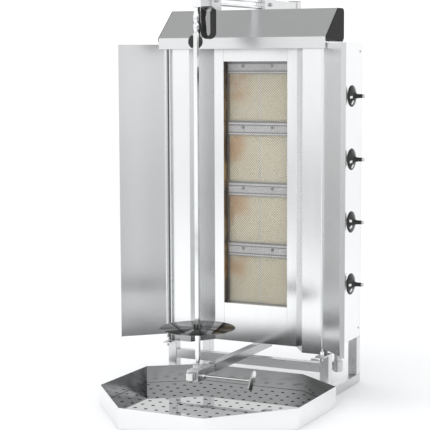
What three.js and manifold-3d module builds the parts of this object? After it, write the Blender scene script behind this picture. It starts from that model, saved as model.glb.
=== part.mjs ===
// Free-standing gas kebab grill with four ceramic burners, motor on top and a drip tray.
// Millimetres, +Z up, floor at Z = 0, front towards -Y, knobs on the +X side.

import * as THREE from 'three';
import { mergeVertices } from 'three/addons/utils/BufferGeometryUtils.js';
import Module from 'manifold-3d';

const wasm = await Module();
wasm.setup();

// ---------- driving dimensions ----------
const GAP = 0.3;             // clearance between touching pieces
const FRAME_SHIFT_Y = 131;   // moves the window plane so the whole footprint is centred
const TUBE = 25;             // square tube of the frame
const WALL = 1.5;            // sheet and tube wall
const POST_IN = 215;
const POST_OUT = POST_IN + TUBE;
const REAR_Y = 176;          // back face of the housing
const POST_FRONT_Y = -58;
const POST_TOP_Z = 122.5;
const HOUSING_BASE_Z = 132;
const HOUSING_TOP_Z = 943;
const COLUMN_BASE_Z = 123;
const WINDOW_HALF = 94.7;    // burner window, half width
const WINDOW_LOW_Z = 228.6;
const WINDOW_TOP_Z = 892.6;
const STRIP_HALF = 122.5;    // window frame strip, half width
const PLATE_IN = 166.2;      // inner edge of the front plates
const PLATE_Y = -64.5;       // front plates stand this far ahead of the window
const JAMB_DEEP = 24;
const BURNER_PITCH = 166.7;
const TILE_TOP_Z = 860;      // upper edge of the first tile pair
const TILE_HIGH = 132;       // standard infrared tile, 132 x 92
const TILE_WIDE = 92;
const BURNERS = 4;
const VALVE_Y = 68;
const VALVE_TOP_Z = 800;
const VALVE_PITCH = 168.6;
const PIPE_X = 217;          // gas manifold
const HINGE_X = 230;
const HINGE_Y = -80;
const WING_LOW_Z = 143.6;
const WING_TOP_Z = 939;
const SKEWER_Y = -345;
const ARM_Z = 108.6;         // centre line of the lower arm
const CLAMP_Y = -361;        // clamp screw of the bearing saddle
const SHELF_Z = 1064;        // motor shelf underside
const ROD_R = 4.5;           // guide rods
const ROD_Z = [1037, 1053];

const COLOURS = {
  steel: [0xc9cccf, 0.9, 0.35],
  bright: [0xdfe2e4, 0.95, 0.2],
  ceramic: [0xd9c9a3, 0.0, 0.85],
  black: [0x161616, 0.0, 0.5],
  dark: [0x3a3d40, 0.5, 0.5],
  pipe: [0x8e8f8c, 0.8, 0.45],
};

const group = new THREE.Group();
group.name = 'gas_kebab_grill';

// ---------- helpers ----------
function add(name, geometry, colour) {
  const [hex, metalness, roughness] = COLOURS[colour];
  const material = new THREE.MeshStandardMaterial({ color: hex, metalness, roughness });
  geometry.translate(0, FRAME_SHIFT_Y, 0);
  const mesh = new THREE.Mesh(geometry, material);
  mesh.name = name;
  group.add(mesh);
}

function solid(geometry) {
  const bare = geometry.clone();
  bare.deleteAttribute('normal');
  bare.deleteAttribute('uv');
  const merged = mergeVertices(bare, 1e-4);
  return new wasm.Manifold(new wasm.Mesh({
    numProp: 3,
    vertProperties: new Float32Array(merged.attributes.position.array),
    triVerts: new Uint32Array(merged.index.array),
  }));
}

function fromSolid(manifold) {
  const mesh = manifold.getMesh();
  const indexed = new THREE.BufferGeometry();
  indexed.setAttribute('position', new THREE.BufferAttribute(mesh.vertProperties, 3));
  indexed.setIndex(new THREE.BufferAttribute(mesh.triVerts, 1));
  const flat = indexed.toNonIndexed();
  flat.computeVertexNormals();
  return flat;
}

function join(...parts) {
  return fromSolid(parts.map(solid).reduce((sum, part) => sum.add(part)));
}

function cut(body, ...tools) {
  return fromSolid(tools.map(solid).reduce((rest, tool) => rest.subtract(tool), solid(body)));
}

function box(x0, x1, y0, y1, z0, z1) {
  const geometry = new THREE.BoxGeometry(Math.abs(x1 - x0), y1 - y0, z1 - z0);
  return geometry.translate((x0 + x1) / 2, (y0 + y1) / 2, (z0 + z1) / 2);
}

// Outline points are [x, y] for axis z, [y, z] for axis x and [x, z] for axis y.
function prism(outline, axis, start, end, hole = null) {
  const order = axis === 'y'
    ? ([a, b]) => new THREE.Vector2(b, a)
    : ([a, b]) => new THREE.Vector2(a, b);
  const points = outline.map(order);
  if (THREE.ShapeUtils.isClockWise(points)) {
    points.reverse();
  }
  const shape = new THREE.Shape(points);
  if (hole) {
    shape.holes.push(new THREE.Path(hole.map(order)));
  }
  const geometry = new THREE.ExtrudeGeometry(shape, { depth: end - start, bevelEnabled: false });
  geometry.translate(0, 0, start);
  const [ex, ey, ez] = [new THREE.Vector3(1, 0, 0), new THREE.Vector3(0, 1, 0), new THREE.Vector3(0, 0, 1)];
  const basis = new THREE.Matrix4();
  if (axis === 'x') {
    basis.makeBasis(ey, ez, ex);
  } else if (axis === 'y') {
    basis.makeBasis(ez, ex, ey);
  }
  return geometry.applyMatrix4(basis);
}

function rectangle(u0, u1, v0, v1) {
  return [[u0, v0], [u1, v0], [u1, v1], [u0, v1]];
}

function squareTube(axis, uc, vc, size, start, end, wall = WALL) {
  const h = size / 2;
  const k = h - wall;
  const outer = rectangle(uc - h, uc + h, vc - h, vc + h);
  const inner = rectangle(uc - k, uc + k, vc - k, vc + k);
  return prism(outer, axis, start, end, inner);
}

// Profile points are [radius, height along the axis], from low to high.
function revolve(profile, axis, at, segments = 20) {
  const geometry = new THREE.LatheGeometry(profile.map(([r, h]) => new THREE.Vector2(r, h)), segments);
  if (axis === 'z') {
    geometry.rotateX(Math.PI / 2);
  } else if (axis === 'x') {
    geometry.rotateZ(-Math.PI / 2);
  }
  return geometry.translate(...at);
}

function rod(axis, at, radius, start, end, segments = 16) {
  return revolve([[0, start], [radius, start], [radius, end], [0, end]], axis, at, segments);
}

// Bent sheet: the open polyline is thickened to its left side.
function sheetOutline(points, thickness) {
  const normals = points.slice(1).map((p, i) => {
    const dx = p[0] - points[i][0];
    const dy = p[1] - points[i][1];
    const length = Math.hypot(dx, dy);
    return [-dy / length, dx / length];
  });
  const inner = points.map((p, i) => {
    const a = normals[Math.max(i - 1, 0)];
    const b = normals[Math.min(i, normals.length - 1)];
    const scale = thickness / (1 + a[0] * b[0] + a[1] * b[1]);
    return [p[0] + (a[0] + b[0]) * scale, p[1] + (a[1] + b[1]) * scale];
  });
  return [...points, ...inner.reverse()];
}

// ---------- frame ----------
function frontPost(side) {
  const x = side * (POST_IN + TUBE / 2);
  const cap = box(side * POST_IN, side * POST_OUT, -92, POST_FRONT_Y + TUBE, POST_TOP_Z - 4, POST_TOP_Z);
  const tube = squareTube('z', x, POST_FRONT_Y + TUBE / 2, TUBE, TUBE + GAP, POST_TOP_Z - 3);
  return cut(join(tube, cap), rod('z', [side * HINGE_X, HINGE_Y, 0], 3.7, 110, 130));
}

function addFrame() {
  for (const [word, side] of [['left', -1], ['right', 1]]) {
    const x = side * (POST_IN + TUBE / 2);
    add(`${word}_runner`, squareTube('y', x, TUBE / 2, TUBE, POST_FRONT_Y, REAR_Y), 'steel');
    add(`${word}_front_post`, frontPost(side), 'steel');
    const rear = squareTube('z', x, REAR_Y - TUBE / 2, TUBE, TUBE + GAP, HOUSING_BASE_Z - GAP);
    add(`${word}_rear_post`, rear, 'steel');
  }
  const cross = squareTube('x', POST_FRONT_Y + 13, 85, 24, -POST_IN + GAP, POST_IN - GAP);
  add('front_cross_tube', cross, 'steel');
}

function addLowerArm() {
  const tube = squareTube('y', 0, ARM_Z, 22, -265, 90, 1.7);
  const hanger = box(-11, 11, 60, 90, ARM_Z + 10, HOUSING_BASE_Z - GAP);
  add('lower_arm_tube', join(tube, hanger), 'steel');
  add('lower_arm_bar', squareTube('y', 0, ARM_Z, 18, -392, -120, 2), 'bright');
}

function addSaddle() {
  const block = box(-16, 16, -376, -327, 94, 122);
  const boss = rod('x', [0, CLAMP_Y, ARM_Z], 8, 15, 24);
  const cup = rod('z', [0, SKEWER_Y, 0], 13, 120, 131, 24);
  const pocket = revolve([[0, 121.3], [4, 121.3], [10, 132], [0, 132]], 'z', [0, SKEWER_Y, 0], 20);
  const way = box(-9.4, 9.4, -400, -300, 99.2, 118);
  const bore = rod('x', [0, CLAMP_Y, ARM_Z], 4.2, 5, 30);
  add('bearing_saddle', cut(join(block, boss, cup), pocket, way, bore), 'steel');
}

function addClampScrew() {
  const shaft = rod('x', [0, CLAMP_Y, ARM_Z], 3.5, 9.7, 160);
  const flange = rod('x', [0, CLAMP_Y, ARM_Z], 8, 24.5, 28.5);
  const bar = new THREE.Shape();
  bar.moveTo(-10, -26);
  bar.lineTo(10, -26);
  bar.lineTo(10, 17);
  bar.absarc(0, 17, 10, 0, Math.PI, false);
  bar.lineTo(-10, -26);
  const paddle = new THREE.ExtrudeGeometry(bar, { depth: 4, bevelEnabled: false, curveSegments: 8 });
  const tilt = THREE.MathUtils.degToRad(-36);
  paddle.applyMatrix4(new THREE.Matrix4().makeBasis(
    new THREE.Vector3(0, 1, 0), new THREE.Vector3(0, 0, 1), new THREE.Vector3(1, 0, 0)));
  paddle.rotateX(tilt);
  paddle.translate(156, CLAMP_Y, ARM_Z);
  add('clamp_screw', join(shaft, flange, paddle), 'bright');
}

// ---------- housing ----------
function addPanels() {
  const side = (sign) => box(sign * (POST_OUT - WALL), sign * POST_OUT,
    PLATE_Y + WALL + GAP, REAR_Y - WALL - GAP, HOUSING_BASE_Z, HOUSING_TOP_Z);
  const bores = Array.from({ length: BURNERS }, (_, k) =>
    rod('x', [0, VALVE_Y, VALVE_TOP_Z - k * VALVE_PITCH], 7, 230, 250));
  add('left_side_panel', side(-1), 'steel');
  add('right_side_panel', cut(side(1), ...bores), 'steel');
  add('back_panel', box(-POST_OUT, POST_OUT, REAR_Y - WALL, REAR_Y, HOUSING_BASE_Z, HOUSING_TOP_Z), 'steel');
  const inner = POST_OUT - WALL - GAP;
  const back = REAR_Y - WALL - GAP;
  const floor = box(-inner, inner, JAMB_DEEP + GAP, back, HOUSING_BASE_Z, HOUSING_BASE_Z + WALL);
  add('bottom_plate', cut(floor, rod('z', [PIPE_X, VALVE_Y, 0], 11.5, 120, 140)), 'steel');
  add('top_plate', box(-inner, inner, JAMB_DEEP + GAP, back, HOUSING_TOP_Z - WALL, HOUSING_TOP_Z), 'steel');
}

// Jamb, window strip, splayed reflector and front plate, folded from one sheet.
function column(side) {
  const line = [[WINDOW_HALF, JAMB_DEEP], [WINDOW_HALF, 0], [STRIP_HALF, 0],
    [PLATE_IN, PLATE_Y], [POST_OUT, PLATE_Y]];
  const outline = sheetOutline(line, WALL).map(([x, y]) => [side * x, y]);
  const body = prism(outline, 'z', COLUMN_BASE_Z, HOUSING_TOP_Z);
  const lug = box(side * 220, side * 238, -90, PLATE_Y + 0.5, HOUSING_TOP_Z - 3, HOUSING_TOP_Z);
  return cut(join(body, lug), rod('z', [side * HINGE_X, HINGE_Y, 0], 3.7, 930, 950));
}

function addFront() {
  add('left_column', column(-1), 'steel');
  add('right_column', column(1), 'steel');
  const half = WINDOW_HALF - GAP;
  const upper = [[0, HOUSING_TOP_Z], [0, WINDOW_TOP_Z], [JAMB_DEEP, WINDOW_TOP_Z]];
  add('upper_front_panel', prism(sheetOutline(upper, WALL), 'x', -half, half), 'steel');
  const lower = [[JAMB_DEEP, WINDOW_LOW_Z], [0, WINDOW_LOW_Z], [0, COLUMN_BASE_Z]];
  add('lower_front_panel', prism(sheetOutline(lower, WALL), 'x', -half, half), 'steel');
}

function addMeshGuard() {
  const half = WINDOW_HALF + 6;
  const frame = box(-half, half, JAMB_DEEP + GAP, JAMB_DEEP + GAP + WALL, WINDOW_LOW_Z - 6, WINDOW_TOP_Z + 6);
  const openings = Array.from({ length: BURNERS }, (_, k) => {
    const top = TILE_TOP_Z - k * BURNER_PITCH;
    return box(-90, 90, 20, 30, top - TILE_HIGH + 3, top - 1);
  });
  add('mesh_guard', cut(frame, ...openings), 'steel');
}

function addBurners() {
  for (let k = 0; k < BURNERS; k += 1) {
    const top = TILE_TOP_Z - k * BURNER_PITCH;
    const low = top - TILE_HIGH;
    const body = box(-97, 97, 30, 70, low - 8, top + 22);
    const hollow = box(-94, 94, 45, 72, low - 5, top + 19);
    const pocket = box(-TILE_WIDE - GAP, TILE_WIDE + GAP, 28, 42.3, low - GAP, top + GAP);
    const inlet = rod('x', [0, 50, VALVE_TOP_Z - k * VALVE_PITCH], 7, 96, 110, 12);
    add(`burner_${k + 1}`, join(cut(body, pocket, hollow), inlet), 'steel');
    const tiles = box(-TILE_WIDE, TILE_WIDE, 31, 42, low, top);
    add(`ceramic_plate_${k + 1}`, cut(tiles, box(-0.8, 0.8, 30, 34, low - 1, top + 1)), 'ceramic');
  }
}

// ---------- hood ----------
function addHood() {
  const line = [[30, HOUSING_TOP_Z + GAP], [30, 1030], [-14, 1030], [-96.5, 955.5], [-96.5, 926]];
  add('hood_sheet', prism(sheetOutline(line, WALL), 'x', -242, 242), 'steel');
  const cheek = [[-96.5, 946], [24, 946], [30, 952], [30, 1020], [27, 1027], [20, 1030], [-14, 1030],
    [-96.5, 955.5]];
  add('hood_right_cheek', prism(cheek, 'x', 242 + GAP, 243.8), 'dark');
  add('hood_left_cheek', prism(cheek, 'x', -243.8, -242 - GAP), 'dark');
}

// ---------- gas line, valves and knobs ----------
function addGasManifold() {
  const at = [PIPE_X, VALVE_Y, 0];
  const parts = [rod('z', at, 10.5, 64, 822), rod('x', [0, VALVE_Y, 64], 12, 150, PIPE_X),
    rod('z', at, 13, 51, 80), rod('x', [0, VALVE_Y, 64], 15, 138, 158, 6)];
  const bores = [];
  for (let k = 0; k < BURNERS; k += 1) {
    const z = VALVE_TOP_Z - k * VALVE_PITCH;
    parts.push(rod('x', [0, VALVE_Y, z], 12, PIPE_X, 236));
    parts.push(box(190, 206, 42, VALVE_Y + 7, z - 7, z + 7));
    parts.push(box(200, PIPE_X, VALVE_Y - 7, VALVE_Y + 7, z - 7, z + 7));
    parts.push(rod('x', [0, 50, z], 5, 110 + GAP, 195, 12));
    bores.push(rod('x', [0, VALVE_Y, z], 4.8, 218, 240));
  }
  add('gas_manifold', cut(join(...parts), ...bores), 'pipe');
}

function addKnobs() {
  const skirt = [[0, 249.5], [26, 249.5], [29, 251], [29, 253.5], [26, 256], [12, 261], [7.5, 267],
    [6.8, 283], [5.5, 284], [5.5, 289], [0, 289]];
  for (let k = 0; k < BURNERS; k += 1) {
    const at = [0, VALVE_Y, VALVE_TOP_Z - k * VALVE_PITCH];
    const steps = [[0, 222], [4, 222], [4, 240.6], [6, 240.6], [6, 246], [4, 246], [4, 262], [0, 262]];
    const spindle = revolve(steps, 'x', at, 14);
    add(`valve_spindle_${k + 1}`, spindle, 'bright');
    const bore = rod('x', at, 4.4, 245, 262.6, 14);
    add(`knob_${k + 1}`, cut(revolve(skirt, 'x', at, 28), bore), 'black');
  }
}

// ---------- wings ----------
function wing(side) {
  const line = [[319, -180.8], [327.6, -170.6], [241.5, -88.8], [231, -80.8]];
  const outline = sheetOutline(line, WALL).map(([x, y]) => [side * x, y]);
  const sheet = prism(outline, 'z', WING_LOW_Z, WING_TOP_Z - GAP);
  const barrel = rod('z', [side * HINGE_X, HINGE_Y, 0], 4.5, WING_LOW_Z + 4, WING_TOP_Z - 4, 14);
  const pin = rod('z', [side * HINGE_X, HINGE_Y, 0], 3, 110, 946, 12);
  return join(sheet, barrel, pin);
}

// ---------- upper arm and drive ----------
function addMast() {
  const column28 = squareTube('z', 0, 270, 28, 400, 1060, 2);
  const feet = [432, 892].flatMap((z) => [box(-12, 12, REAR_Y + 1, 257, z - 12, z + 12),
    box(-35, 35, REAR_Y + GAP, REAR_Y + 3.3, z - 25, z + 25)]);
  const stub = box(-12, 12, 95, 257, 1035, 1058);
  const outline = [[34, 1022], [62, 1019], [107, 1036], [107, 1064], [34, 1064]];
  const block = prism(outline, 'x', -14, 14);
  const bores = ROD_Z.map((z) => rod('y', [0, 0, z], ROD_R + 0.4, 20, 140));
  add('mast', cut(join(column28, ...feet, stub, block), ...bores), 'steel');
}

function addCarriage() {
  ROD_Z.forEach((z, k) => {
    const name = k === 0 ? 'lower_guide_rod' : 'upper_guide_rod';
    add(name, rod('y', [0, 0, z], ROD_R, -282, 62), 'bright');
  });
  const outline = [[-292, 1030], [-262, 1019], [-237, 1019], [-237, SHELF_Z + 4], [-292, SHELF_Z + 4]];
  const clamp = prism(outline, 'x', -17, 17);
  const shelf = box(-45, 45, -400, -237, SHELF_Z, SHELF_Z + 4);
  const seats = ROD_Z.map((z) => rod('y', [0, 0, z], ROD_R + 0.2, -284, -230));
  const drop = rod('z', [0, SKEWER_Y, 0], 12, SHELF_Z - 5, SHELF_Z + 8, 20);
  const glandHole = rod('z', [-34, -262, 0], 7, SHELF_Z - 5, SHELF_Z + 8);
  add('motor_bracket', cut(join(clamp, shelf), ...seats, drop, glandHole), 'steel');
}

function addMotor() {
  const base = SHELF_Z + 4 + GAP;
  const gearbox = box(-36, 36, -385, -277, base, base + 46);
  const can = rod('z', [0, -322, 0], 33, base + 45, base + 118, 28);
  const boss = rod('z', [0, SKEWER_Y, 0], 11, SHELF_Z - 2, base + 2, 20);
  const bore = rod('z', [0, SKEWER_Y, 0], 6.5, SHELF_Z - 10, base + 24, 20);
  add('gear_motor', cut(join(gearbox, can, boss), bore), 'black');
  const shell = box(-45, 45, -400, -237, base, base + 132);
  const room = box(-43.8, 43.8, -398.8, -238.2, base - 1, base + 130.8);
  add('motor_cover', cut(shell, room), 'steel');
  const socket = join(box(-9, 9, SKEWER_Y - 9, SKEWER_Y + 9, 1026, 1056),
    rod('z', [0, SKEWER_Y, 0], 6, 1055, base + 22, 20));
  const well = revolve([[0, 1020], [7, 1020], [7, 1048], [2, 1053], [0, 1053]], 'z', [0, SKEWER_Y, 0], 16);
  add('drive_socket', cut(socket, well), 'bright');
}

// Square bar given as [height, half width] stations.
function squareLoft(stations, at) {
  const profile = [[0, stations[0][0]], ...stations.map(([z, h]) => [h * Math.SQRT2, z]),
    [0, stations.at(-1)[0]]];
  const geometry = new THREE.LatheGeometry(profile.map(([r, z]) => new THREE.Vector2(r, z)), 4, Math.PI / 4);
  return geometry.rotateX(Math.PI / 2).translate(...at);
}

function addSkewer() {
  const stations = [[122, 0.8], [150, 5], [962, 5], [964, 3.8], [970, 3.8], [972, 5], [984, 5], [986, 3.8],
    [992, 3.8], [994, 5], [1004, 5], [1024, 2.4], [1036, 2.4]];
  add('skewer', squareLoft(stations, [0, SKEWER_Y, 0]), 'bright');
  const profile = [[0, 224], [93, 224], [95, 225], [95, 226], [93, 227], [11, 227], [11, 236], [0, 236]];
  const plate = revolve(profile, 'z', [0, SKEWER_Y, 0], 48);
  const bore = box(-5.3, 5.3, SKEWER_Y - 5.3, SKEWER_Y + 5.3, 220, 240);
  add('skewer_disc', cut(plate, bore), 'bright');
}

// ---------- drip tray ----------
const TRAY_FLOOR = 1.2;
const TRAY_RIM = 53;
const TRAY = [[-282, -358], [-117, -546], [117, -546], [282, -358], [282, -110], [150, -14], [-150, -14],
  [-282, -110]];

// Moves every edge of the convex outline inwards by the same distance.
function inset(outline, distance) {
  const count = outline.length;
  const lines = outline.map((p, i) => {
    const q = outline[(i + 1) % count];
    const length = Math.hypot(q[0] - p[0], q[1] - p[1]);
    const n = [-(q[1] - p[1]) / length, (q[0] - p[0]) / length];
    return { n, c: n[0] * p[0] + n[1] * p[1] + distance };
  });
  return outline.map((_, i) => {
    const a = lines[(i + count - 1) % count];
    const b = lines[i];
    const det = a.n[0] * b.n[1] - a.n[1] * b.n[0];
    return [(a.c * b.n[1] - b.c * a.n[1]) / det, (a.n[0] * b.c - b.n[0] * a.c) / det];
  });
}

function addTray() {
  const pan = prism(TRAY, 'z', 0, TRAY_RIM);
  const room = prism(inset(TRAY, WALL), 'z', TRAY_FLOOR, TRAY_RIM + 5);
  add('drip_tray', cut(pan, room), 'steel');
  const plate = prism(inset(TRAY, WALL + 2), 'z', 5, 6.5);
  for (const [word, side] of [['left', -1], ['right', 1]]) {
    const half = box(side * GAP, side * 300, -600, 50, 0, 10);
    const trimmed = fromSolid(solid(plate).intersect(solid(half)));
    const ribs = [60, 200].map((x) => box(side * x - 1, side * x + 1, -420, -80, TRAY_FLOOR + GAP, 5.5));
    add(`${word}_floor_plate`, join(trimmed, ...ribs), 'bright');
  }
}

// ---------- mains lead ----------
const CORD_R = 3.25;
const LEAD = [[-34, -262, 1033.7], [-34.5, -261.5, 1026], [-37, -258, 1014], [-40, -251, 1001],
  [-42.8, -243, 988], [-43.75, -233.8, 977]];
const TAIL = [[-49.8, -208, 996], [-56, -209, 984], [-60, -213, 968], [-58, -220, 952], [-50, -229, 944.5],
  [-42.5, -235.5, 943.2], [-40, -240.5, 943], [-40, -243.7, 943]];
const PLUG_AT = [-40, -278, 943];

function polygon(radius, sides) {
  return Array.from({ length: sides }, (_, k) => {
    const turn = (k / sides) * Math.PI * 2;
    return new THREE.Vector2(radius * Math.cos(turn), radius * Math.sin(turn));
  });
}

function cordTube(points) {
  const path = new THREE.CatmullRomCurve3(points.map((p) => new THREE.Vector3(...p)));
  const ring = new THREE.Shape(polygon(CORD_R, 8));
  return new THREE.ExtrudeGeometry(ring, { steps: 16, extrudePath: path, bevelEnabled: false });
}

// Upright hank: loops side by side, 34 wide and 150 high, as one solid.
function hankBlock() {
  const r = 17;
  const outline = new THREE.Shape();
  outline.moveTo(r, 0);
  outline.lineTo(r, 116);
  outline.absarc(0, 116, r, 0, Math.PI, false);
  outline.lineTo(-r, 0);
  outline.absarc(0, 0, r, Math.PI, Math.PI * 2, false);
  const loops = new THREE.ExtrudeGeometry(outline, { depth: 26.75, bevelEnabled: false, curveSegments: 8 });
  return loops.rotateX(Math.PI / 2).translate(-30, -204.25, 967);
}

function addCord() {
  const boot = revolve([[0, 1034], [4.6, 1034], [6, 1052], [9, 1053], [9, SHELF_Z - GAP],
    [6.6, SHELF_Z - GAP], [6.6, SHELF_Z + 3.5], [0, SHELF_Z + 3.5]], 'z', [-34, -262, 0], 16);
  add('cable_gland', boot, 'black');
  add('cord_lead', cordTube(LEAD), 'black');
  add('cord_hank', hankBlock(), 'black');
  add('cord_tail', cordTube(TAIL), 'black');
  const body = revolve([[0, 0], [17, 0], [18.5, 2], [18.5, 12], [15, 18], [8, 22], [6, 34], [0, 34]], 'y',
    PLUG_AT, 24);
  const pins = [-9.5, 9.5].map((x) => rod('y', [PLUG_AT[0] + x, 0, PLUG_AT[2]], 2.4,
    PLUG_AT[1] - 19, PLUG_AT[1] + 1, 8));
  add('mains_plug', join(body, ...pins), 'black');
}

addFrame();
addLowerArm();
addSaddle();
addClampScrew();
addPanels();
addFront();
addMeshGuard();
addBurners();
addHood();
addGasManifold();
addKnobs();
add('left_wing', wing(-1), 'steel');
add('right_wing', wing(1), 'steel');
addMast();
addCarriage();
addMotor();
addSkewer();
addTray();
addCord();

export default group;
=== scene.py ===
"""Looks of the gas kebab grill: camera, light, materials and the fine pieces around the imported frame."""
import math
import bmesh
import bpy
from mathutils import Matrix, Vector


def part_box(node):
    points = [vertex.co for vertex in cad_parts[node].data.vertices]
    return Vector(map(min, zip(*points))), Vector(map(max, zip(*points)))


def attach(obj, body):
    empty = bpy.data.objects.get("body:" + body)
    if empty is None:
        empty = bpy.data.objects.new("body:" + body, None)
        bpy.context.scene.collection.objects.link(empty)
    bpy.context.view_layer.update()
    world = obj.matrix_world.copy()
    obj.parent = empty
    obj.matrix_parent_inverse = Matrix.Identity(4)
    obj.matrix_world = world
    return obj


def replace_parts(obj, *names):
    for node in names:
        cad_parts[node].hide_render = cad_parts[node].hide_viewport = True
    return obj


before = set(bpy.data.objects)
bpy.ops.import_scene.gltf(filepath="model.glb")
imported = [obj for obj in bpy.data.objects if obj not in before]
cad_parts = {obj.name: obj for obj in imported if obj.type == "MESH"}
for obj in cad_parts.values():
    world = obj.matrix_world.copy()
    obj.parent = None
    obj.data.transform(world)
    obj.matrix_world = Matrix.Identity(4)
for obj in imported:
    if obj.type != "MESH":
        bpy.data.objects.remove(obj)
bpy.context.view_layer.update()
MM = 0.001

# ---------- camera ----------
CAMERA_AT = (1.5705, -3.2580, 0.8962)
TURN, TILT, ROLL = 26.541, 6.402, -0.242    # degrees
LENS = 115.5                                # on a 36 mm sensor


def add_camera():
    data = bpy.data.cameras.new("camera")
    data.lens = LENS
    data.sensor_width = 36
    data.clip_end = 50
    camera = bpy.data.objects.new("camera", data)
    turn = Matrix.Rotation(math.radians(TURN), 4, "Z")
    tilt = Matrix.Rotation(math.radians(90 - TILT), 4, "X")
    roll = Matrix.Rotation(math.radians(ROLL), 4, "Z")
    camera.matrix_world = Matrix.Translation(CAMERA_AT) @ turn @ tilt @ roll
    bpy.context.scene.collection.objects.link(camera)
    bpy.context.scene.camera = camera


add_camera()


# ---------- node helpers ----------
class Tree:
    """A node tree with short calls for adding and linking nodes."""

    def __init__(self, tree):
        self.tree = tree
        tree.nodes.clear()

    def node(self, kind, **settings):
        made = self.tree.nodes.new(kind)
        for key, value in settings.items():
            setattr(made, key, value)
        return made

    def put(self, source, socket):
        if isinstance(source, bpy.types.NodeSocket):
            self.tree.links.new(source, socket)
        else:
            socket.default_value = source

    def maths(self, operation, *values):
        made = self.node("ShaderNodeMath", operation=operation)
        for value, socket in zip(values, made.inputs):
            self.put(value, socket)
        return made.outputs[0]

    def vector(self, operation, a, b=None):
        made = self.node("ShaderNodeVectorMath", operation=operation)
        self.put(a, made.inputs[0])
        if b is not None:
            self.put(b, made.inputs[1])
        return made.outputs["Value" if operation == "DOT_PRODUCT" else "Vector"]

    def split(self, vector):
        """The vector's X, Y and Z outputs."""
        made = self.node("ShaderNodeSeparateXYZ")
        self.put(vector, made.inputs[0])
        return made.outputs

    def mix(self, factor, a, b):
        made = self.node("ShaderNodeMix", data_type="RGBA")
        self.put(factor, made.inputs[0])
        self.put(a, made.inputs[6])
        self.put(b, made.inputs[7])
        return made.outputs[2]

    def ramp(self, value, low, high, out_low=0.0, out_high=1.0):
        made = self.node("ShaderNodeMapRange", interpolation_type="SMOOTHSTEP")
        for item, socket in zip((value, low, high, out_low, out_high), made.inputs):
            self.put(item, socket)
        return made.outputs[0]

    def place(self):
        return self.node("ShaderNodeTexCoord").outputs["Object"]

    def noise(self, scale, detail=2.0, stretch=(1, 1, 1), place=None):
        scaled = self.node("ShaderNodeMapping")
        self.put(place or self.place(), scaled.inputs["Vector"])
        scaled.inputs["Scale"].default_value = stretch
        made = self.node("ShaderNodeTexNoise")
        self.put(scaled.outputs[0], made.inputs["Vector"])
        made.inputs["Scale"].default_value = scale
        made.inputs["Detail"].default_value = detail
        return made.outputs["Fac"]

    def bump(self, height, strength, distance):
        made = self.node("ShaderNodeBump")
        self.put(height, made.inputs["Height"])
        made.inputs["Strength"].default_value = strength
        made.inputs["Distance"].default_value = distance
        return made.outputs[0]


def grey(value, cool=0.008):
    return (value * (1 - cool), value, min(value * (1 + cool), 1.0), 1)


def material(name, metallic=0.0):
    made = bpy.data.materials.new(name)
    made.use_nodes = True
    tree = Tree(made.node_tree)
    shader = tree.node("ShaderNodeBsdfPrincipled")
    shader.inputs["Metallic"].default_value = metallic
    tree.put(shader.outputs[0], tree.node("ShaderNodeOutputMaterial").inputs[0])
    return made, tree, shader.inputs


# ---------- materials ----------
FINE, ALONG = 900.0, 12.0    # grain frequency across and along the brush lines
SOOT = (0.10, 0.075, 0.055, 1)
SCORCH = (0.42, 0.26, 0.10, 1)
CREAM = (0.95, 0.87, 0.62, 1)
PALE = (0.99, 0.95, 0.80, 1)
STAIN = (0.80, 0.46, 0.20, 1)


def steel(name, tone, rough, grain="z", lines=0.035, tint=None, edge=1.0):
    """Brushed stainless sheet; the lines run along one axis, with soft cloudy variation."""
    made, tree, inputs = material(name, metallic=1.0)
    stretch = tuple(ALONG / FINE if axis == grain else 1.0 for axis in "xyz")
    streaks = tree.noise(FINE, 3.0, stretch)
    clouds = tree.noise(5.0, 3.0)
    wide = tree.noise(60.0, 2.0, stretch)
    base = tree.mix(clouds, grey(tone * 0.97), grey(min(tone * 1.03, 1.0)))
    base = tree.mix(tree.ramp(streaks, 0.35, 0.7, 0.0, lines), base, grey(tone * 0.55))
    if tint:
        base = tint(tree, base)
    tree.put(base, inputs["Base Color"])
    patchy = tree.ramp(wide, 0.3, 0.7, rough * 0.97, rough * 1.05)
    tree.put(tree.maths("MULTIPLY_ADD", streaks, 0.02, patchy), inputs["Roughness"])
    tree.put(tree.bump(streaks, 0.012, 0.0001), inputs["Normal"])
    inputs["Specular Tint"].default_value = (edge, edge, edge, 1)
    return made


# The shades below are painted into the colour. They stand for dark surroundings that the sheet would
# reflect, or for a shadow, and are not a property of the steel.
def low_shade(tree, base, low, high, dark):
    """Darkens a sheet from the height high down to low."""
    level = tree.ramp(tree.split(tree.place())["Z"], low, high, dark, 0.0)
    return tree.mix(level, base, grey(0.06))


def wing_shade(tree, base):
    return low_shade(tree, base, 0.13, 0.30, 0.14)


def panel_shade(tree, base):
    return low_shade(tree, base, 0.125, 0.20, 0.62)


def band(tree, value, low, high, soft):
    """1 where the value is between low and high, with soft edges."""
    return tree.maths("MULTIPLY", tree.ramp(value, low, low + soft), tree.ramp(value, high, high - soft))


def column_heat_and_shade(tree, base):
    """Heat-browned jamb, painted shade on the splay at the right and a painted shadow line beside the left
    wing.
    """
    spot = tree.split(tree.place())
    base = panel_shade(tree, base)
    # Painted shade on the right splay.
    splay = band(tree, spot["X"], 0.1232, 0.1652, 0.001)
    base = tree.mix(tree.maths("MULTIPLY", splay, 0.42), base, grey(0.15))
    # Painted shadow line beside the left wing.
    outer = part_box("left_column")[0].x
    shadow = band(tree, spot["X"], outer + 0.005, outer + 0.0125, 0.001)
    base = tree.mix(tree.maths("MULTIPLY", shadow, 0.92), base, grey(0.05))
    deep = tree.ramp(spot["Y"], 0.1315, 0.134)
    brown = tree.mix(tree.ramp(tree.noise(14.0, 3.0), 0.4, 0.62), SOOT, SCORCH)
    return tree.mix(tree.maths("MULTIPLY", deep, 0.9), base, brown)


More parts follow.
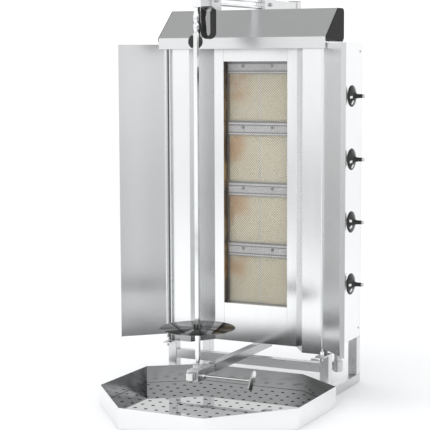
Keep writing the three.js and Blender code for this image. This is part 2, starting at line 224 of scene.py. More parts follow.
def tray_inside_reflection(tree, base):
    """Painted reflection: inner walls darker, most of all at the right. They face the tray's middle, the
    outer walls don't.
    """
    low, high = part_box("drip_tray")
    outward = tree.vector("SUBTRACT", tree.place(), (0, (low.y + high.y) / 2, 0))
    level_normal = tree.vector("MULTIPLY", tree.node("ShaderNodeNewGeometry").outputs["Normal"], (1, 1, 0))
    inside_wall = tree.maths("LESS_THAN", tree.vector("DOT_PRODUCT", outward, level_normal), -0.02)
    # Painted reflection: mid grey on the left inner walls, dark grey on the right.
    shade = tree.mix(tree.ramp(tree.split(tree.place())["X"], 0.08, 0.2), grey(0.5), grey(0.16))
    return tree.mix(inside_wall, base, shade)


def mirror(name, tone, rough, edge=1.0):
    """Bright polished steel with faint wiping marks."""
    made, tree, inputs = material(name, metallic=1.0)
    marks = tree.noise(40.0, 4.0, (1, 0.2, 1))
    smears = tree.noise(9.0, 3.0)
    tree.put(tree.mix(smears, grey(tone * 0.94), grey(min(tone * 1.04, 1.0))), inputs["Base Color"])
    tree.put(tree.ramp(marks, 0.35, 0.75, rough * 0.7, rough * 1.5), inputs["Roughness"])
    tree.put(tree.bump(marks, 0.02, 0.0002), inputs["Normal"])
    inputs["Specular Tint"].default_value = (edge, edge, edge, 1)
    return made


def turned(name):
    """Lathe-turned disc; wedges painted around the skewer stand for its fan-shaped sheen."""
    made, tree, inputs = material(name, metallic=1.0)
    low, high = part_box("skewer_disc")
    spoke = tree.vector("SUBTRACT", tree.place(), (low + high) / 2)
    around = tree.vector("NORMALIZE", tree.vector("MULTIPLY", spoke, (1, 1, 0)))
    wedges = tree.noise(1.9, 1.0, place=around)
    tree.put(tree.mix(tree.ramp(wedges, 0.42, 0.6), grey(0.10), grey(0.46)), inputs["Base Color"])
    tree.put(tree.ramp(tree.noise(40.0, 3.0), 0.3, 0.7, 0.05, 0.09), inputs["Roughness"])
    inputs["Specular Tint"].default_value = (0.5, 0.5, 0.5, 1)
    return made


TILE_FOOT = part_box("ceramic_plate_4")[0].z
TILE_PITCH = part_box("ceramic_plate_1")[0].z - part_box("ceramic_plate_2")[0].z


def heat_stain(tree, spot):
    """Patches in the upper left part of each tile pair."""
    rows = tree.maths("DIVIDE", tree.maths("SUBTRACT", spot["Z"], TILE_FOOT), TILE_PITCH)
    height = tree.ramp(tree.maths("FRACT", rows), 0.15, 0.5)
    left = tree.ramp(spot["X"], -0.005, -0.075)
    patch = tree.ramp(tree.noise(13.0, 3.0), 0.36, 0.62)
    return tree.maths("MULTIPLY", tree.maths("MULTIPLY", left, height), patch)


def ceramic():
    """Porous infrared tile: fine pores with painted shade in them, a pale joint in the middle and heat
    stains.
    """
    made, tree, inputs = material("infrared_ceramic")
    spot = tree.split(tree.place())
    base = tree.mix(tree.noise(16.0, 4.0), CREAM, PALE)
    base = tree.mix(tree.maths("MULTIPLY", heat_stain(tree, spot), 0.8), base, STAIN)
    pores = tree.node("ShaderNodeTexVoronoi")
    tree.put(tree.place(), pores.inputs["Vector"])
    pores.inputs["Scale"].default_value = 420
    hole = tree.ramp(pores.outputs["Distance"], 0.2, 0.38)
    # Painted shade: the pores are darker inside.
    base = tree.mix(hole, (0.66, 0.57, 0.40, 1), base)
    middle = tree.maths("LESS_THAN", tree.maths("ABSOLUTE", spot["X"]), 0.0019)
    tree.put(tree.mix(middle, base, (0.98, 0.97, 0.92, 1)), inputs["Base Color"])
    inputs["Roughness"].default_value = 0.9
    tree.put(tree.bump(hole, 0.5, 0.0006), inputs["Normal"])
    return made


def moulded(name, colour, rough, pebble=0.08):
    """Moulded plastic or rubber with a fine pebbled skin."""
    made, tree, inputs = material(name)
    clouds = tree.noise(30.0, 3.0)
    grain = tree.noise(1400.0, 2.0)
    dark = tuple(c * 0.75 for c in colour) + (1,)
    light = tuple(min(c * 1.3 + 0.004, 1) for c in colour) + (1,)
    tree.put(tree.mix(clouds, dark, light), inputs["Base Color"])
    tree.put(tree.ramp(grain, 0.3, 0.7, rough * 0.85, rough * 1.15), inputs["Roughness"])
    tree.put(tree.bump(grain, pebble, 0.0003), inputs["Normal"])
    return made


LOOKS = {
    "sheet_z": steel("brushed_upright", 0.90, 0.20, "z"),
    "sheet_x": steel("brushed_across", 0.90, 0.20, "x"),
    "rear_sheet": steel("brushed_rear", 0.70, 0.28, "z"),
    "column": steel("brushed_column", 0.90, 0.18, "z", tint=column_heat_and_shade),
    "hood": steel("brushed_hood", 0.80, 0.28, "x"),
    "cheek": steel("hood_end", 0.05, 0.35, "z", edge=0.55),
    "wing": steel("brushed_wing", 0.88, 0.20, "z", tint=wing_shade),
    "low_panel": steel("brushed_low_panel", 0.92, 0.18, "z", tint=panel_shade),
    "tube_x": steel("tube_across", 0.78, 0.26, "x"),
    "tube_y": steel("tube_along", 0.66, 0.24, "y"),
    "arm": steel("arm_tube", 0.50, 0.22, "y"),
    "tube_z": steel("tube_upright", 0.74, 0.26, "z"),
    "tray": steel("tray_sheet", 0.90, 0.14, "x", tint=tray_inside_reflection),
    "burner": steel("burner_body", 0.45, 0.45, "x", lines=0.2),
    "strip": moulded("burner_strip", (0.97, 0.94, 0.93), 0.45, 0.02),
    "wire": steel("guard_wire", 0.62, 0.50, "z", lines=0.1),
    # The falling wires are the same wire as the rising ones; their darker tone is painted shade.
    "dark_wire": steel("guard_wire_shaded", 0.42, 0.50, "z", lines=0.1),
    "pipe": steel("drawn_pipe", 0.66, 0.35, "z", lines=0.2),
    "bolt": steel("bolt_steel", 0.70, 0.30, "z"),
    "plate": mirror("polished_plate", 0.62, 0.03, 0.8),
    "disc": turned("polished_disc"),
    "bright": mirror("polished_bar", 0.93, 0.14),
    "ceramic": ceramic(),
    "black": moulded("black_plastic", (0.012, 0.012, 0.013), 0.32),
    "rubber": moulded("black_rubber", (0.020, 0.020, 0.021), 0.5, 0.15),
    "paint": moulded("motor_paint", (0.035, 0.036, 0.04), 0.42),
    "mark": moulded("white_mark", (0.85, 0.85, 0.83), 0.5),
    "tip": moulded("knob_tip", (0.62, 0.63, 0.64), 0.3),
    "tie": moulded("hank_tie", (0.05, 0.05, 0.05), 0.45),
}
NODE_LOOKS = [
    ("hood_sheet", "hood"), ("hood_", "cheek"), ("left_wing", "wing"), ("right_wing", "wing"),
    ("left_column", "column"), ("right_column", "column"), ("front_cross", "tube_x"),
    ("lower_arm_tube", "arm"), ("lower_arm", "tube_y"), ("left_runner", "tube_y"), ("right_runner", "tube_y"),
    ("left_front", "tube_z"), ("right_front", "tube_z"), ("left_rear", "tube_z"),
    ("right_rear", "tube_z"), ("mast", "tube_z"), ("burner_", "burner"), ("mesh_guard", "burner"),
    ("ceramic_", "ceramic"), ("gas_manifold", "pipe"), ("valve_", "bright"), ("knob_", "black"),
    ("gear_motor", "paint"), ("motor_cover", "rear_sheet"), ("motor_bracket", "tube_y"),
    ("drip_tray", "tray"), ("skewer_disc", "disc"), ("skewer", "bright"), ("clamp_screw", "bright"),
    ("lower_guide", "bright"), ("upper_guide", "bright"), ("drive_socket", "bright"),
    ("bearing_saddle", "tube_y"), ("left_floor", "plate"), ("right_floor", "plate"),
    ("cable_gland", "black"), ("upper_front", "sheet_x"), ("lower_front", "low_panel"),
    ("back_panel", "rear_sheet"), ("left_side", "rear_sheet"), ("", "sheet_z"),
]


def smooth_faces():
    """Node group that drops the imported flat normals and shades every face smooth."""
    group = bpy.data.node_groups.new("smooth_faces", "GeometryNodeTree")
    for way in ("INPUT", "OUTPUT"):
        group.interface.new_socket("Geometry", in_out=way, socket_type="NodeSocketGeometry")
    tree = Tree(group)
    start, end = tree.node("NodeGroupInput"), tree.node("NodeGroupOutput")
    plain = tree.node("GeometryNodeRemoveAttribute")
    plain.inputs["Name"].default_value = "custom_normal"
    smooth = tree.node("GeometryNodeSetShadeSmooth")
    tree.put(start.outputs["Geometry"], plain.inputs["Geometry"])
    tree.put(plain.outputs["Geometry"], smooth.inputs[0])
    tree.put(smooth.outputs[0], end.inputs["Geometry"])
    return group


SMOOTH_FACES = smooth_faces()


def soften(obj, width, segments=2):
    """Shades a CAD node smooth, welds it and rounds its edges, all with modifiers. Its mesh stays."""
    smooth = obj.modifiers.new("smooth", "NODES")
    smooth.node_group = SMOOTH_FACES
    weld = obj.modifiers.new("weld", "WELD")
    weld.merge_threshold = 0.00001
    flat = obj.modifiers.new("planar", "DECIMATE")
    flat.decimate_type = "DISSOLVE"
    flat.angle_limit = math.radians(0.6)
    bevel = obj.modifiers.new("edges", "BEVEL")
    bevel.width = width
    bevel.segments = segments
    bevel.limit_method = "ANGLE"
    bevel.angle_limit = math.radians(38)
    bevel.harden_normals = True


def finish_nodes():
    for name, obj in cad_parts.items():
        look = next(look for start, look in NODE_LOOKS if name.startswith(start))
        obj.material_slots[0].material = LOOKS[look]
        soften(obj, 0.5 * MM if "tube" in name or "post" in name or "runner" in name else 0.3 * MM)


finish_nodes()


# ---------- mesh helpers ----------
class Shape:
    """Collects closed bodies into one mesh, in metres."""

    def __init__(self):
        self.bm = bmesh.new()

    def faces(self, points, faces):
        verts = [self.bm.verts.new(p) for p in points]
        for face in faces:
            self.bm.faces.new([verts[i] for i in face])

    def box(self, low, high, matrix=None):
        corners = [Vector((x, y, z)) for x in (low[0], high[0]) for y in (low[1], high[1])
                   for z in (low[2], high[2])]
        if matrix:
            corners = [matrix @ corner for corner in corners]
        self.faces(corners, [(0, 1, 3, 2), (4, 6, 7, 5), (0, 4, 5, 1),
                             (2, 3, 7, 6), (0, 2, 6, 4), (1, 5, 7, 3)])
        return self

    def lathe(self, profile, axis, at, sides=24):
        """profile is [radius, height] from one end of the axis to the other."""
        turn = {"x": Matrix.Rotation(math.pi / 2, 4, "Y"), "y": Matrix.Rotation(-math.pi / 2, 4, "X"),
                "z": Matrix.Identity(4)}[axis]
        place = Matrix.Translation(at) @ turn
        rings = []
        for radius, height in profile:
            rings.append([place @ Vector((radius * math.cos(2 * math.pi * k / sides),
                                          radius * math.sin(2 * math.pi * k / sides), height))
                          for k in range(sides)])
        points = [p for ring in rings for p in ring]
        faces = [tuple(reversed(range(sides)))]
        for r in range(len(rings) - 1):
            for k in range(sides):
                n = (k + 1) % sides
                faces.append((r * sides + k, r * sides + n, (r + 1) * sides + n, (r + 1) * sides + k))
        faces.append(tuple(range((len(rings) - 1) * sides, len(rings) * sides)))
        self.faces(points, faces)
        return self

    def tube(self, points, radius, sides=6):
        """A closed tube along a list of points that lie in one upright plane or nearly so."""
        total = len(points)
        ring_points = []
        for i, p in enumerate(points):
            ahead = (points[min(i + 1, total - 1)] - points[max(i - 1, 0)]).normalized()
            across = ahead.cross(Vector((0, 1, 0)))
            across = across.normalized() if across.length > 1e-6 else Vector((1, 0, 0))
            up = across.cross(ahead)
            ring_points += [p + across * radius * math.cos(2 * math.pi * k / sides)
                            + up * radius * math.sin(2 * math.pi * k / sides) for k in range(sides)]
        faces = [tuple(range(sides))]
        for r in range(total - 1):
            for k in range(sides):
                n = (k + 1) % sides
                faces.append((r * sides + k, (r + 1) * sides + k, (r + 1) * sides + n, r * sides + n))
        faces.append(tuple(reversed(range((total - 1) * sides, total * sides))))
        self.faces(ring_points, faces)
        return self

    def piece(self, name, look, body, bevel=0.0, smooth=True):
        bmesh.ops.recalc_face_normals(self.bm, faces=self.bm.faces)
        mesh = bpy.data.meshes.new(name)
        self.bm.to_mesh(mesh)
        self.bm.free()
        obj = bpy.data.objects.new(name, mesh)
        bpy.context.scene.collection.objects.link(obj)
        mesh.materials.append(LOOKS[look])
        if smooth:
            mesh.shade_smooth()
            mesh.set_sharp_from_angle(angle=math.radians(40))
        if bevel:
            edges = obj.modifiers.new("edges", "BEVEL")
            edges.width = bevel
            edges.segments = 2
            edges.limit_method = "ANGLE"
            edges.angle_limit = math.radians(38)
        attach(obj, body)
        return obj


# ---------- mains lead: leaves the gland, is folded into a hank, ends in the plug ----------
CORD_R = 3.25 * MM
LEAD = [(-34, -131, 1033.7), (-34.5, -130.5, 1026), (-37, -127, 1014), (-40, -120, 1001),
        (-42.8, -112, 988), (-43.75, -102.8, 977)]
TAIL = [(-49.8, -77, 996), (-56, -78, 984), (-60, -82, 968), (-58, -89, 952), (-50, -98, 944.5),
        (-42.5, -104.5, 943.2), (-40, -109.5, 943), (-40, -112.7, 943)]
HANK_X, HANK_R = -30.0, 13.75            # middle of the hank and radius of its folds
HANK_LOW, HANK_HIGH = 967.0, 1083.0      # ends of the straight runs
HANK_FRONT, HANK_STEP = -96.75, 6.75     # first layer and distance between layers
HANK_LOOPS = 4
LEAVE_Z = 1010.0                         # the last run leaves the hank here


def smooth_through(points, per_span=5):
    """Catmull-Rom points through a list of points."""
    line = [Vector(p) for p in points]
    line = [line[0] * 2 - line[1]] + line + [line[-1] * 2 - line[-2]]
    out = []
    for a, b, c, d in zip(line, line[1:], line[2:], line[3:]):
        for k in range(per_span):
            t = k / per_span
            out.append(0.5 * (2 * b + (c - a) * t + (2 * a - 5 * b + 4 * c - d) * t * t
                              + (3 * b - a - 3 * c + d) * t ** 3))
    return out + [line[-2]]


def hank_points():
    """Loops beside each other; each run on the left steps back by one layer near its foot."""
    out = []
    for loop in range(HANK_LOOPS):
        y = HANK_FRONT + HANK_STEP * loop
        for k in range(11):
            turn = math.pi + math.pi * k / 10
            out.append((HANK_X + HANK_R * math.cos(turn), y, HANK_LOW + HANK_R * math.sin(turn)))
        for k in range(1, 6):
            out.append((HANK_X + HANK_R, y, HANK_LOW + (HANK_HIGH - HANK_LOW) * k / 6))
        for k in range(11):
            turn = math.pi * k / 10
            out.append((HANK_X + HANK_R * math.cos(turn), y, HANK_HIGH + HANK_R * math.sin(turn)))
        out.append((HANK_X - HANK_R, y, (HANK_HIGH + LEAVE_Z) / 2))
        if loop < HANK_LOOPS - 1:
            for k in range(6):
                t = k / 6
                z = LEAVE_Z + (HANK_LOW - LEAVE_Z) * t
                out.append((HANK_X - HANK_R, y + HANK_STEP * t * t * (3 - 2 * t), z))
    out.append((HANK_X - HANK_R, y, LEAVE_Z + 10))
    return out


def add_cord():
    route = smooth_through(LEAD + hank_points() + TAIL, 3)
    route = [p * MM for p in route]
    curve = bpy.data.curves.new("mains_cord", "CURVE")
    curve.dimensions = "3D"
    curve.bevel_depth = CORD_R
    curve.bevel_resolution = 4
    curve.use_fill_caps = True
    spline = curve.splines.new("POLY")
    spline.points.add(len(route) - 1)
    for point, place in zip(spline.points, route):
        point.co = (*place, 1)
    spline.use_smooth = True
    cord = bpy.data.objects.new("mains_cord", curve)
    bpy.context.scene.collection.objects.link(cord)
    curve.materials.append(LOOKS["rubber"])
    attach(cord, "carriage")
    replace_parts(cord, "cord_lead", "cord_hank", "cord_tail")
    length = sum((b - a).length for a, b in zip(route, route[1:]))
    return cord, route, length


def add_plug():
    """Round two-pin plug with a ribbed grip, earth strips and a flexible neck."""
    low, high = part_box("mains_plug")
    x, z = (low.x + high.x) / 2, (low.z + high.z) / 2
    back = high.y
    at = (x, back, z)
    profile = [(3.4, 0), (5.6, -1), (6, -8), (6.4, -12), (8.4, -13), (15, -16.5), (17.2, -20), (18.3, -23),
               (18.3, -31.5), (17.4, -33.6), (16.2, -34)]
    shape = Shape()
    shape.lathe([(r * MM, h * MM) for r, h in profile], "y", at, 40)
    for k in range(12):
        turn = Matrix.Translation(at) @ Matrix.Rotation(2 * math.pi * k / 12, 4, "Y")
        shape.box((16.9 * MM, -31 * MM, -1.4 * MM), (18.45 * MM, -22 * MM, 1.4 * MM), turn)
    plug = shape.piece("mains_plug_body", "black", "carriage", 0.3 * MM)
    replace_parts(plug, "mains_plug")
    pins = Shape()
    for side in (-1, 1):
        pins.lathe([(2.4 * MM, -33 * MM), (2.4 * MM, -51 * MM), (1.6 * MM, -53 * MM)], "y",
                   (x + side * 9.5 * MM, back, z), 16)
        pins.box((x - 2.5 * MM, back - 36.5 * MM, z + side * 16 * MM - 1 * MM),
                 (x + 2.5 * MM, back - 26 * MM, z + side * 16 * MM + 1 * MM))
    return plug, pins.piece("mains_plug_pins", "bright", "carriage")


STRAP_THICK, STRAP_WIDE = 0.8, 9.0
STRAP_Z = 1046.0


def add_tie():
    """Strap that holds the hank together, with its buckle in front."""
    reach = HANK_R + CORD_R / MM + STRAP_THICK
    left, right = HANK_X - reach, HANK_X + reach
    front = HANK_FRONT - CORD_R / MM - STRAP_THICK
    back = HANK_FRONT + (HANK_LOOPS - 1) * HANK_STEP + CORD_R / MM + STRAP_THICK
    top = STRAP_Z + STRAP_WIDE
    sides = [(left, right, front, front + STRAP_THICK), (left, right, back - STRAP_THICK, back),
             (left, left + STRAP_THICK, front, back), (right - STRAP_THICK, right, front, back)]
    shape = Shape()
    for x0, x1, y0, y1 in sides:
        shape.box(Vector((x0, y0, STRAP_Z)) * MM, Vector((x1, y1, top)) * MM)
    shape.box(Vector((HANK_X - 3, front - 1.6, STRAP_Z - 1)) * MM, Vector((HANK_X + 4, front, top + 1)) * MM)
    return shape.piece("hank_tie", "tie", "carriage", 0.3 * MM)


def cord_set():
    cord, route, length = add_cord()
    plug, pins = add_plug()
    tie = add_tie()


cord_set()


# ---------- burner window: woven guard, perforated strips, screws ----------
TILE_TOPS = [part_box(f"ceramic_plate_{k}")[1].z for k in (1, 2, 3, 4)]
GUARD_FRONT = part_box("mesh_guard")[0].y
MESH_Y = GUARD_FRONT - 2.9 * MM
MESH_PITCH, WIRE_R, WEAVE = 7.0 * MM, 0.48 * MM, 0.5 * MM


def window_edges():
    half = 94.2 * MM
    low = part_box("lower_front_panel")[1].z + 0.6 * MM
    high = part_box("upper_front_panel")[0].z - 0.6 * MM
    return half, low, high


def add_window_mesh():
    """Wires at 45 degrees both ways, woven over and under each other."""
    half, low, high = window_edges()
    # The falling wires take the darker look, which is painted shade.
    for word, slope, look in (("rising", -1, "wire"), ("falling", 1, "dark_wire")):
        shape = Shape()
        count = int((2 * half + high - low) / MESH_PITCH)
        for n in range(1, count):
            offset = n * MESH_PITCH
            start = max(-half, -half + offset - (high - low))
            end = min(half, -half + offset)
            steps = max(1, round((end - start) / (MESH_PITCH / 2)))
            points = []
            for k in range(steps + 1):
                x = start + (end - start) * k / steps
                lift = WEAVE * (1 if (k + n) % 2 else -1) * slope
                points.append(Vector((slope * x, MESH_Y + lift, low + offset - (x + half))))
            if len(points) > 1 and (points[0] - points[-1]).length > 2 * MM:
                shape.tube(points, WIRE_R, 5)
        shape.piece(f"window_mesh_{word}", look, "housing")


def perforated(shape, x0, x1, z0, z1, y0, y1, pitch, radius):
    """Plate across Y made of square cells, each with a round hole."""
    columns, rows = round((x1 - x0) / pitch), round((z1 - z0) / pitch)
    wide, tall = (x1 - x0) / columns, (z1 - z0) / rows
    for i in range(columns):
        for j in range(rows):
            cx, cz = x0 + wide * (i + 0.5), z0 + tall * (j + 0.5)
            outer, inner = [], []
            for k in range(8):
                angle = math.pi / 4 * k
                c, s = math.cos(angle), math.sin(angle)
                reach = 0.5 / max(abs(c), abs(s))
                outer.append((cx + wide * reach * c, cz + tall * reach * s))
                inner.append((cx + radius * c, cz + radius * s))
            points = [(x, y, z) for y in (y0, y1) for ring in (outer, inner) for x, z in ring]
            faces = []
            for k in range(8):
                n = (k + 1) % 8
                faces += [(k, n, 8 + n, 8 + k), (16 + n, 16 + k, 24 + k, 24 + n),
                          (8 + k, 8 + n, 24 + n, 24 + k)]
            shape.faces(points, faces)


def add_strips():
    """Above each tile pair: a perforated strip between two folded lips, held by two screws."""
    y0, y1 = GUARD_FRONT - 1.5 * MM, GUARD_FRONT - 0.2 * MM
    half = 91 * MM
    limit = window_edges()[2]
    for k, top in enumerate(TILE_TOPS, 1):
        strip = Shape()
        perforated(strip, -half, half, top + 8 * MM, min(top + 25 * MM, limit), y0, y1, 4.2 * MM, 1.05 * MM)
        bmesh.ops.remove_doubles(strip.bm, verts=strip.bm.verts, dist=0.00001)
        strip.piece(f"burner_strip_{k}", "strip", "housing", smooth=False)
        lips = Shape()
        lips.box((-half, y0, top + 0.5 * MM), (half, y1, top + 4.5 * MM))
        if top + 33 * MM < limit:
            lips.box((-half, y0, top + 28 * MM), (half, y1, top + 33 * MM))
        lips.piece(f"burner_lips_{k}", "strip", "housing", 0.2 * MM)
        screws = Shape()
        for x in (-45.5 * MM, 41.5 * MM):
            z = top + 20.5 * MM
            screws.lathe([(4.6 * MM, 0), (4.6 * MM, -0.9 * MM), (3.4 * MM, -1 * MM), (3.2 * MM, -2.6 * MM),
                          (2.2 * MM, -3.3 * MM), (1.3 * MM, -3.3 * MM), (1.2 * MM, -2.2 * MM)],
                         "y", (x, MESH_Y - 0.9 * MM, z), 16)
        screws.piece(f"strip_screws_{k}", "burner", "housing")


add_window_mesh()
add_strips()


# ---------- drip tray plates with their holes ----------
HOLE_R = 5.2 * MM
HOLE_X, HOLE_Y = 31 * MM, 39 * MM


def inside(point, outline, margin):
    """True if the point is inside the convex outline by at least margin."""
    for a, b in zip(outline, outline[1:] + outline[:1]):
        edge = b - a
        normal = Vector((-edge.y, edge.x)).normalized()
        if normal.dot(point - a) < margin:
            return False
    return True


def tray_outline():
    """The tray's eight corners, anticlockwise, from its lowest ring of points."""
    low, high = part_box("drip_tray")
    ring = {(round(v.co.x, 4), round(v.co.y, 4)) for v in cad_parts["drip_tray"].data.vertices
            if v.co.z < low.z + 0.1 * MM}
    middle = Vector(((low.x + high.x) / 2, (low.y + high.y) / 2))
    return sorted((Vector(p) for p in ring), key=lambda p: math.atan2(p.y - middle.y, p.x - middle.x))


def hole_cutter(word, low, high, outline):
    """Rods on an even raster, at least 16 mm inside the tray's outline."""
    cutter = Shape()
    for j in range(int((high.y - low.y) / HOLE_Y) + 1):
        for i in range(int((high.x - low.x) / HOLE_X) + 1):
            x, y = low.x + 14 * MM + HOLE_X * i, low.y + 20 * MM + HOLE_Y * j
            if x < high.x - 9 * MM and inside(Vector((x, y)), outline, 16 * MM):
                cutter.lathe([(HOLE_R, low.z - 2 * MM), (HOLE_R, high.z + 2 * MM)], "z", (x, y, 0), 20)
    return cutter.piece("cutter", "plate", f"{word}_plate")


def add_floor_plates():
    outline = tray_outline()
    for word in ("left", "right"):
        tool = hole_cutter(word, *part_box(f"{word}_floor_plate"), outline)
        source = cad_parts[f"{word}_floor_plate"].data.copy()
        plate = bpy.data.objects.new(f"{word}_plate_sheet", source)
        bpy.context.scene.collection.objects.link(plate)
        weld = plate.modifiers.new("weld", "WELD")
        weld.merge_threshold = 0.00001
        holes = plate.modifiers.new("holes", "BOOLEAN")
        holes.object = tool
        holes.solver = "EXACT"
        bpy.context.view_layer.update()
        done = bpy.data.meshes.new_from_object(plate.evaluated_get(bpy.context.evaluated_depsgraph_get()))
        plate.modifiers.clear()
        plate.data = done
        done.materials.clear()
        done.materials.append(LOOKS["plate"])
        done.shade_flat()
        bpy.data.objects.remove(tool)
        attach(plate, f"{word}_plate")
        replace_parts(plate, f"{word}_floor_plate")


add_floor_plates()


# ---------- knobs: body with its bore, marks and tip ----------
KNOB_TURNS = (150, 158, 128, 142)    # where each knob's first mark stands, in degrees
KNOB_PROFILE = [(4.4, 13.1), (4.4, 0), (26, 0), (28.2, 1), (28.2, 4.4), (26, 6.4), (14, 10.6),
                (8.4, 13.6), (6.2, 17.5), (5.5, 23), (5.3, 33), (4.6, 34)]
TIP_PROFILE = [(4.7, 33.5), (4.7, 38.6), (4.0, 39.4)]
KNOB_RIBS = 24


def turned_about_x(at, degrees):
    return Matrix.Translation(at) @ Matrix.Rotation(math.radians(degrees), 4, "X")


def add_knob_body(k, at):
    body = Shape()
    body.lathe([(r * MM, h * MM) for r, h in KNOB_PROFILE], "x", at, 48)
    for j in range(KNOB_RIBS):
        rib = turned_about_x(at, 360 * j / KNOB_RIBS)
        body.box((1.8 * MM, -1.1 * MM, 27.0 * MM), (4.4 * MM, 1.1 * MM, 28.95 * MM), rib)
    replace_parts(body.piece(f"knob_body_{k}", "black", f"knob_{k}", 0.2 * MM), f"knob_{k}")


def add_knob_marks(k, at, degrees):
    """Two white marks, lying on the knob's cone."""
    marks = Shape()
    for offset in (0, -52):
        cone = Matrix.Translation((8.35 * MM, 0, 20 * MM)) @ Matrix.Rotation(math.radians(-20), 4, "Y")
        place = turned_about_x(at, degrees + offset) @ cone
        marks.box((-0.5 * MM, -3.2 * MM, -5.5 * MM), (0.6 * MM, 3.2 * MM, 4.5 * MM), place)
    marks.piece(f"knob_mark_{k}", "mark", f"knob_{k}")


def add_knobs():
    for k, degrees in enumerate(KNOB_TURNS, 1):
        low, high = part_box(f"knob_{k}")
        at = (low.x, (low.y + high.y) / 2, (low.z + high.z) / 2)
        add_knob_body(k, at)
        add_knob_marks(k, at, degrees)
        tip = Shape()
        tip.lathe([(r * MM, h * MM) for r, h in TIP_PROFILE], "x", at, 24)
        tip.piece(f"knob_tip_{k}", "tip", f"knob_{k}", 0.2 * MM)


add_knobs()


# ---------- tube ends, screws and small fittings ----------
PLUG_PARTS = [(1.6, -8.0, 1.0), (0.4, 0.05, 1.5)]    # stem and head: inset, inner end, outer end


def end_plug(shape, axis, at, size, outward):
    """Square insert for the open end of a tube: a stem inside it and a head in front."""
    along = "xyz".index(axis)
    for inset, inner, outer in PLUG_PARTS:
        half = Vector((size / 2 - inset * MM,) * 3)
        low, high = Vector(at) - half, Vector(at) + half
        low[along] = at[along] + min(inner * outward, outer * outward) * MM
        high[along] = at[along] + max(inner * outward, outer * outward) * MM
        shape.box(low, high)


def add_end_plugs():
    dark = Shape()
    for word in ("left", "right"):
        low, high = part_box(f"{word}_runner")
        middle = (low + high) / 2
        for y, outward in ((low.y, -1), (high.y, 1)):
            end_plug(dark, "y", (middle.x, y, middle.z), high.x - low.x, outward)
    dark.piece("runner_plugs", "black", "housing", 0.4 * MM)
    low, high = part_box("lower_arm_bar")
    middle = (low + high) / 2
    bar = Shape()
    end_plug(bar, "y", (middle.x, low.y, middle.z), high.x - low.x, -1)
    bar.piece("arm_bar_plug", "mark", "housing", 0.4 * MM)
    low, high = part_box("mast")
    top = Shape()
    end_plug(top, "z", ((low.x + high.x) / 2, high.y - 14 * MM, high.z - 4 * MM), 28 * MM, 1)
    top.piece("mast_plug", "black", "housing", 0.4 * MM)


def pan_head(shape, axis, at, outward, radius=3.4 * MM):
    profile = [(radius * f, h * MM * outward) for f, h in
               ((1, 0), (1, 0.7), (0.86, 1.5), (0.55, 2.0), (0.32, 2.1), (0.28, 1.2))]
    shape.lathe(profile, axis, at, 14)


def add_panel_screws():
    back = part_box("back_panel")
    rear = Shape()
    for side in (-1, 1):
        for k in range(4):
            z = back[0].z + 30 * MM + (back[1].z - back[0].z - 60 * MM) * k / 3
            pan_head(rear, "y", (side * 225 * MM, back[1].y, z), 1)
    rear.piece("back_panel_screws", "bolt", "housing")
    for word, side in (("left", -1), ("right", 1)):
        low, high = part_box(f"{word}_side_panel")
        x = high.x if side > 0 else low.x
        shape = Shape()
        for z in (low.z + 25 * MM, high.z - 25 * MM):
            pan_head(shape, "x", (x, high.y - 12 * MM, z), side)
        shape.piece(f"{word}_panel_screws", "bolt", "housing")


HINGE_X, HINGE_Y = 230 * MM, 51 * MM
COLLAR = [(6.5, 0.3), (6.5, 1.8), (5.4, 2.4), (5.2, 12), (4.6, 12.8)]
WASHER = [(5.0, 0.2), (5.0, 2.4), (3.6, 3.0)]


def add_hinge_fittings():
    """Collar below each wing on its pin, and a washer above the column's lug."""
    for word, side in (("left", -1), ("right", 1)):
        x, y = side * HINGE_X, HINGE_Y
        shape = Shape()
        for profile, node in ((COLLAR, f"{word}_front_post"), (WASHER, f"{word}_column")):
            shape.lathe([(r * MM, h * MM) for r, h in profile], "z", (x, y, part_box(node)[1].z), 20)
        shape.piece(f"{word}_hinge_collars", "bright", f"{word}_wing", 0.2 * MM)


VENTS, VENT_PITCH, VENT_TALL, VENT_INSET = 7, 6.5 * MM, 2.6 * MM, 45 * MM
SOCKET_BOLT = [(5, 0), (5, 5), (2.6, 5), (2.4, 3)]     # heads with a recess
MAST_CLAMP = [(4.8, 0), (4.8, 5), (2.6, 5), (2.4, 3)]
HEX_BOLT = [(4.6, 0), (4.6, 3.6), (3.8, 4.2)]


def add_motor_details():
    """Vent slots and screws on both sides of the cover, and the bracket's clamping bolt."""
    low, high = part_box("motor_cover")
    vents, screws = Shape(), Shape()
    for side, x in ((-1, low.x), (1, high.x)):
        inner, outer = sorted((x - side * 0.25 * MM, x + side * 0.05 * MM))
        for k in range(VENTS):
            z = low.z + 78 * MM + VENT_PITCH * k
            vents.box((inner, low.y + VENT_INSET, z), (outer, high.y - VENT_INSET, z + VENT_TALL))
        for y in (low.y + 12 * MM, high.y - 12 * MM):
            pan_head(screws, "x", (x - side * 2.0 * MM, y, low.z + 9 * MM), side, 3 * MM)
    vents.piece("motor_vents", "black", "carriage")
    screws.piece("motor_cover_screws", "bolt", "carriage")
    clamp = Shape()
    clamp.lathe([(r * MM, h * MM) for r, h in SOCKET_BOLT], "x", (17 * MM, -134 * MM, 1045 * MM), 6)
    clamp.piece("carriage_bolt", "bolt", "carriage", 0.2 * MM)


def add_mast_bolts():
    """Four bolts at each of the mast's two feet on the back panel, and the clamping screw of its arm."""
    shape = Shape()
    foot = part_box("back_panel")[1].y + 3.3 * MM
    bolt = [(r * MM, h * MM) for r, h in HEX_BOLT]
    for z in (432 * MM, 892 * MM):
        for x in (-26 * MM, 26 * MM):
            for rise in (-15 * MM, 15 * MM):
                shape.lathe(bolt, "y", (x, foot, z + rise), 6)
    shape.lathe([(r * MM, h * MM) for r, h in MAST_CLAMP], "x", (14 * MM, 200 * MM, 1045 * MM), 18)
    shape.piece("mast_bolts", "bolt", "housing", 0.2 * MM)


add_end_plugs()
add_panel_screws()
add_hinge_fittings()
add_motor_details()
add_mast_bolts()


# ---------- floor and light ----------
WHITE = 1.10    # strength of the studio's light on floor and matt surfaces


FLOOR_Z = -0.6 * MM


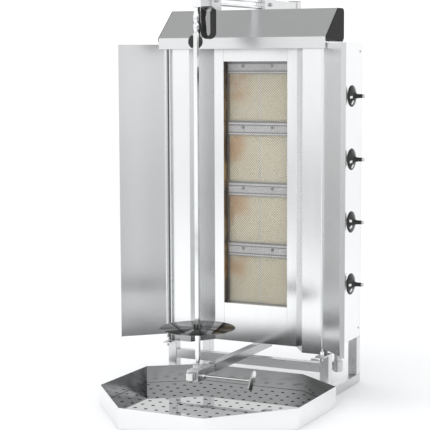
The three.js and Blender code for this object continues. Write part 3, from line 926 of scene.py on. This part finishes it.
def add_floor():
    """White floor; reflections alone see it darker on one side."""
    mesh = bpy.data.meshes.new("studio_floor")
    corners = [(x, y, FLOOR_Z) for x, y in ((-9, -9), (9, -9), (9, 12), (-9, 12))]
    mesh.from_pydata(corners, [], [(0, 1, 2, 3)])
    floor = bpy.data.objects.new("studio_floor", mesh)
    bpy.context.scene.collection.objects.link(floor)
    made, tree, inputs = material("studio_white")
    aside = tree.vector("DOT_PRODUCT", tree.place(), (0.83, -0.55, 0.0))
    glossy = tree.node("ShaderNodeLightPath").outputs["Is Glossy Ray"]
    dark = tree.maths("MULTIPLY", tree.ramp(aside, 0.45, 0.95), glossy)
    white = tree.mix(tree.noise(2.0), grey(0.93), grey(0.96))
    tree.put(tree.mix(dark, white, grey(0.46)), inputs["Base Color"])
    inputs["Roughness"].default_value = 0.9
    inputs["Specular IOR Level"].default_value = 0.1
    mesh.materials.append(made)


def add_world():
    """White studio; reflections alone see a darker ceiling and a darker card at the right front."""
    world = bpy.data.worlds.new("studio")
    bpy.context.scene.world = world
    world.use_nodes = True
    tree = Tree(world.node_tree)
    way = tree.node("ShaderNodeTexCoord").outputs["Generated"]
    ceiling = tree.ramp(tree.split(way)["Z"], 0.25, 0.8, 1.07, 0.44)
    card = tree.ramp(tree.vector("DOT_PRODUCT", way, (0.90, -0.43, 0.0)), 0.80, 0.97, 1.0, 0.74)
    glossy = tree.node("ShaderNodeLightPath").outputs["Is Glossy Ray"]
    level = tree.maths("MULTIPLY", ceiling, card)
    plain = tree.maths("MULTIPLY", tree.maths("SUBTRACT", 1.0, glossy), WHITE)
    shown = tree.maths("MULTIPLY_ADD", level, glossy, plain)
    back = tree.node("ShaderNodeBackground")
    tree.put(shown, back.inputs["Strength"])
    back.inputs["Color"].default_value = (1, 1, 1, 1)
    tree.put(back.outputs[0], tree.node("ShaderNodeOutputWorld").inputs[0])


def add_softbox(name, at, target, size, power):
    data = bpy.data.lights.new(name, "AREA")
    data.shape = "RECTANGLE"
    data.size, data.size_y = size
    data.energy = power
    light = bpy.data.objects.new(name, data)
    way = Vector(target) - Vector(at)
    light.matrix_world = Matrix.Translation(at) @ way.to_track_quat("-Z", "Y").to_matrix().to_4x4()
    light.visible_glossy = False
    bpy.context.scene.collection.objects.link(light)


add_floor()
add_world()
add_softbox("softbox_high", (-1.2, -1.6, 3.4), (0, 0, 0.4), (2.6, 2.6), 14)
add_softbox("softbox_front", (0.7, -2.8, 1.1), (0, 0.1, 0.55), (1.6, 1.6), 15)
bpy.context.scene.view_settings.view_transform = "Standard"
bpy.context.scene.view_settings.look = "None"
